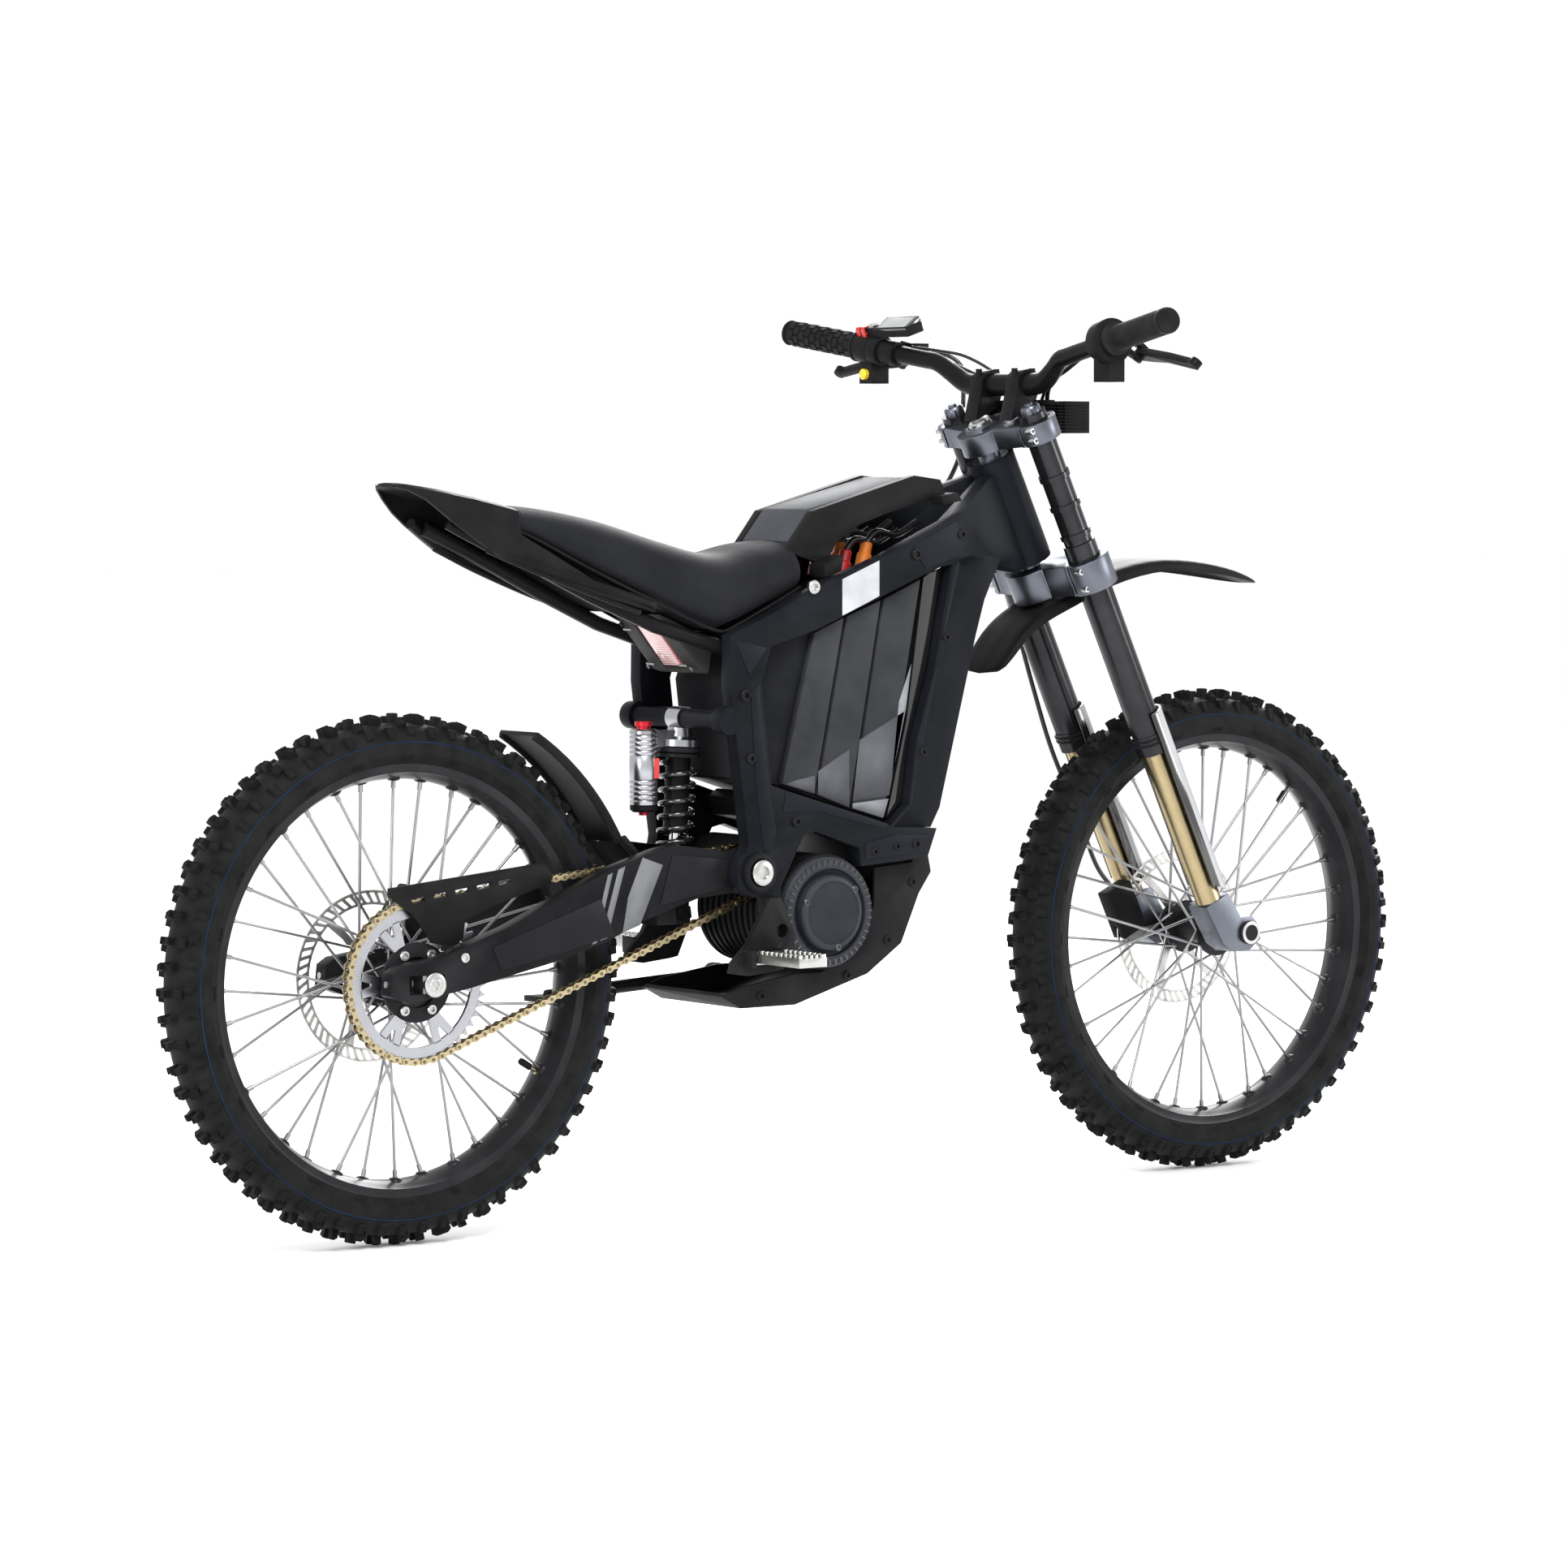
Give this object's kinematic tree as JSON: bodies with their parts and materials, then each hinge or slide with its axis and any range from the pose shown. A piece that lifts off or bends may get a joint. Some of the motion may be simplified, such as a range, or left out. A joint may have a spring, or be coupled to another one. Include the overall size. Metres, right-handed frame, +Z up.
{
  "type": "electric off-road motorcycle",
  "caption": "Full-size electric off-road motorcycle with spoked knobby wheels, upside-down fork, swingarm with shock, chain drive, side battery and a flat seat.",
  "frame": {"origin": "on the ground, midway between the two axles, in the centre plane", "axes": "+X forward, +Y to the rider's left, +Z up"},
  "size_m": [1.861, 0.7702, 1.0983],
  "materials": {
    "frame": "satin dark blue paint",
    "bearing_steel": "ground",
    "black_metal": "satin black",
    "seat_vinyl": "fine grained vinyl",
    "black_plastic": "fine moulded texture",
    "lens": "clear ribbed lens",
    "cover_grey": "satin grey",
    "battery_grey": "satin grey",
    "motor_black": "matt black casting",
    "plate_grey": "matt dark grey",
    "bolt_steel": "zinc plated",
    "sprocket_alloy": "anodised",
    "peg_steel": "polished",
    "shock_alloy": "satin",
    "shaft_chrome": "hard chrome",
    "spring_black": "gloss powder coat",
    "arm_black": "satin dark grey",
    "chain_gold": "gold plated",
    "caliper_black": "satin",
    "tyre": "knobby rubber",
    "rim_black": "black anodised",
    "spoke_steel": "bright",
    "hub_black": "black anodised",
    "rotor_steel": "ground",
    "clamp_alloy": "polished",
    "tube_black": "black anodised",
    "leg_champagne": "champagne anodised",
    "guard_white": "light grey",
    "bar_black": "satin black",
    "lamp_black": "black with clear lens",
    "switch_black": "fine texture",
    "grip_rubber": "soft rubber",
    "hose_rubber": "smooth hose",
    "lever_black": "black anodised",
    "button_red": "red",
    "button_yellow": "yellow"
  },
  "bodies": {
    "chassis": {"main_frame": "frame", "head_bearings": "bearing_steel", "subframe": "black_metal", "seat": "seat_vinyl", "tail_fender": "black_plastic", "tail_light_housing": "black_plastic", "tail_light_lens": "lens", "top_cover": "cover_grey", "cover_rails": "black_plastic", "battery_case": "battery_grey", "motor_housing": "motor_black", "motor_cover": "motor_black", "skid_plate": "plate_grey", "frame_bolts": "bolt_steel", "peg_brackets": "plate_grey"},
    "drive": {"drive_sprocket": "sprocket_alloy"},
    "peg_right": {"footpeg_right": "peg_steel"},
    "peg_left": {"footpeg_left": "peg_steel"},
    "stand": {"side_stand": "black_metal"},
    "shock": {"shock_body": "shock_alloy"},
    "shock_rod": {"shock_shaft": "shaft_chrome", "shock_spring": "spring_black"},
    "rear_arm": {"swingarm": "arm_black", "rear_axle": "bolt_steel", "chain_guard": "black_plastic", "rear_hugger": "black_plastic", "chain": "chain_gold", "rear_caliper": "caliper_black"},
    "rear_wheel": {"rear_tyre": "tyre", "rear_rim": "rim_black", "rear_spokes": "spoke_steel", "rear_hub": "hub_black", "rear_rotor": "rotor_steel", "rear_sprocket": "sprocket_alloy"},
    "steering": {"lower_clamp": "clamp_alloy", "upper_clamp": "clamp_alloy", "fork_tubes": "tube_black", "handlebar": "bar_black", "bar_clamps": "black_metal", "headlight": "lamp_black", "front_fender": "black_plastic", "control_unit": "switch_black", "left_grip": "grip_rubber", "brake_masters": "switch_black", "brake_hoses": "hose_rubber"},
    "throttle": {"throttle_grip": "grip_rubber"},
    "lever_left": {"brake_lever_left": "lever_black"},
    "lever_right": {"brake_lever_right": "lever_black"},
    "button_power": {"power_button": "button_red"},
    "button_mode": {"mode_button": "button_red"},
    "button_horn": {"horn_button": "button_yellow"},
    "fork_lower": {"fork_legs": "leg_champagne", "fork_guards": "guard_white", "front_axle": "black_metal", "front_caliper": "caliper_black"},
    "front_wheel": {"front_tyre": "tyre", "front_rim": "rim_black", "front_spokes": "spoke_steel", "front_hub": "hub_black", "front_rotor": "rotor_steel"}
  },
  "joints": [
    {"name": "steer", "type": "hinge", "parent": "chassis", "child": "steering", "pos_m": [0.29711, 0, 0.8593], "axis": [-0.4264, 0, 0.9045], "range_deg": [-38, 38], "deforming": ["brake_hoses"]},
    {"name": "fork_slide", "type": "slide", "parent": "steering", "child": "fork_lower", "axis": [-0.4264, 0, 0.9045], "range_m": [0, 0.14], "stiffness_N_per_m": 9000, "springref_m": -0.12},
    {"name": "front_wheel_spin", "type": "hinge", "parent": "fork_lower", "child": "front_wheel", "pos_m": [0.6192, 0, 0.3113], "axis": [0, 1, 0], "continuous": true},
    {"name": "throttle_twist", "type": "hinge", "parent": "steering", "child": "throttle", "pos_m": [0.2378, -0.382, 1.084], "axis": [-0.1611, -0.9743, 0.1573], "range_deg": [0, 70], "stiffness_Nm_per_rad": 0.4, "springref_deg": -22.92},
    {"name": "brake_lever_left", "type": "hinge", "parent": "steering", "child": "lever_left", "pos_m": [0.3148, 0.238, 1.047], "axis": [0.6338, 0.1601, 0.7567], "range_deg": [0, 11], "stiffness_Nm_per_rad": 4, "springref_deg": -17.19},
    {"name": "brake_lever_right", "type": "hinge", "parent": "steering", "child": "lever_right", "pos_m": [0.3148, -0.238, 1.047], "axis": [-0.6338, 0.1601, -0.7567], "range_deg": [0, 11], "stiffness_Nm_per_rad": 4, "springref_deg": -17.19},
    {"name": "power_press", "type": "slide", "parent": "steering", "child": "button_power", "axis": [0.9511, 0, 0.309], "range_m": [0, 0.0012], "stiffness_N_per_m": 900, "springref_m": -0.001},
    {"name": "mode_press", "type": "slide", "parent": "steering", "child": "button_mode", "axis": [0.9511, 0, 0.309], "range_m": [0, 0.0012], "stiffness_N_per_m": 900, "springref_m": -0.001},
    {"name": "horn_press", "type": "slide", "parent": "steering", "child": "button_horn", "axis": [1, 0, 0], "range_m": [0, 0.002], "stiffness_N_per_m": 900, "springref_m": -0.001},
    {"name": "swingarm_pivot", "type": "hinge", "parent": "chassis", "child": "rear_arm", "pos_m": [-0.1682, 0, 0.423], "axis": [0, 1, 0], "range_deg": [0, 12], "stiffness_Nm_per_rad": 3500, "springref_deg": -14.32, "deforming": ["chain"]},
    {"name": "rear_wheel_spin", "type": "hinge", "parent": "rear_arm", "child": "rear_wheel", "pos_m": [-0.6192, 0, 0.3113], "axis": [0, 1, 0], "continuous": true},
    {"name": "drive_spin", "type": "hinge", "parent": "chassis", "child": "drive", "pos_m": [-0.1172, 0, 0.428], "axis": [0, 1, 0], "continuous": true},
    {"name": "shock_swing", "type": "hinge", "parent": "chassis", "child": "shock", "pos_m": [-0.2082, 0, 0.606], "axis": [0, 1, 0], "range_deg": [0, 2.65]},
    {"name": "shock_stroke", "type": "slide", "parent": "shock", "child": "shock_rod", "axis": [0.0555, 0, 0.9985], "range_m": [0, 0.01159], "deforming": ["shock_spring"]},
    {"name": "peg_fold_right", "type": "hinge", "parent": "chassis", "child": "peg_right", "pos_m": [-0.1722, -0.129, 0.322], "axis": [-1, 0, 0], "range_deg": [0, 60], "stiffness_Nm_per_rad": 6, "springref_deg": -17.19},
    {"name": "peg_fold_left", "type": "hinge", "parent": "chassis", "child": "peg_left", "pos_m": [-0.1722, 0.129, 0.322], "axis": [1, 0, 0], "range_deg": [0, 60], "stiffness_Nm_per_rad": 6, "springref_deg": -17.19},
    {"name": "stand_swing", "type": "hinge", "parent": "chassis", "child": "stand", "pos_m": [-0.0912, 0.092, 0.282], "axis": [0, -1, 0], "range_deg": [0, 95], "stiffness_Nm_per_rad": 3, "springref_deg": -34.38}
  ],
  "couplings": [
    {"joint": "drive_spin", "follows": "rear_wheel_spin", "ratio": 3.5385},
    {"joint": "shock_swing", "follows": "swingarm_pivot", "ratio": 0.21641},
    {"joint": "shock_stroke", "follows": "swingarm_pivot", "m_per_rad": 0.05425}
  ]
}
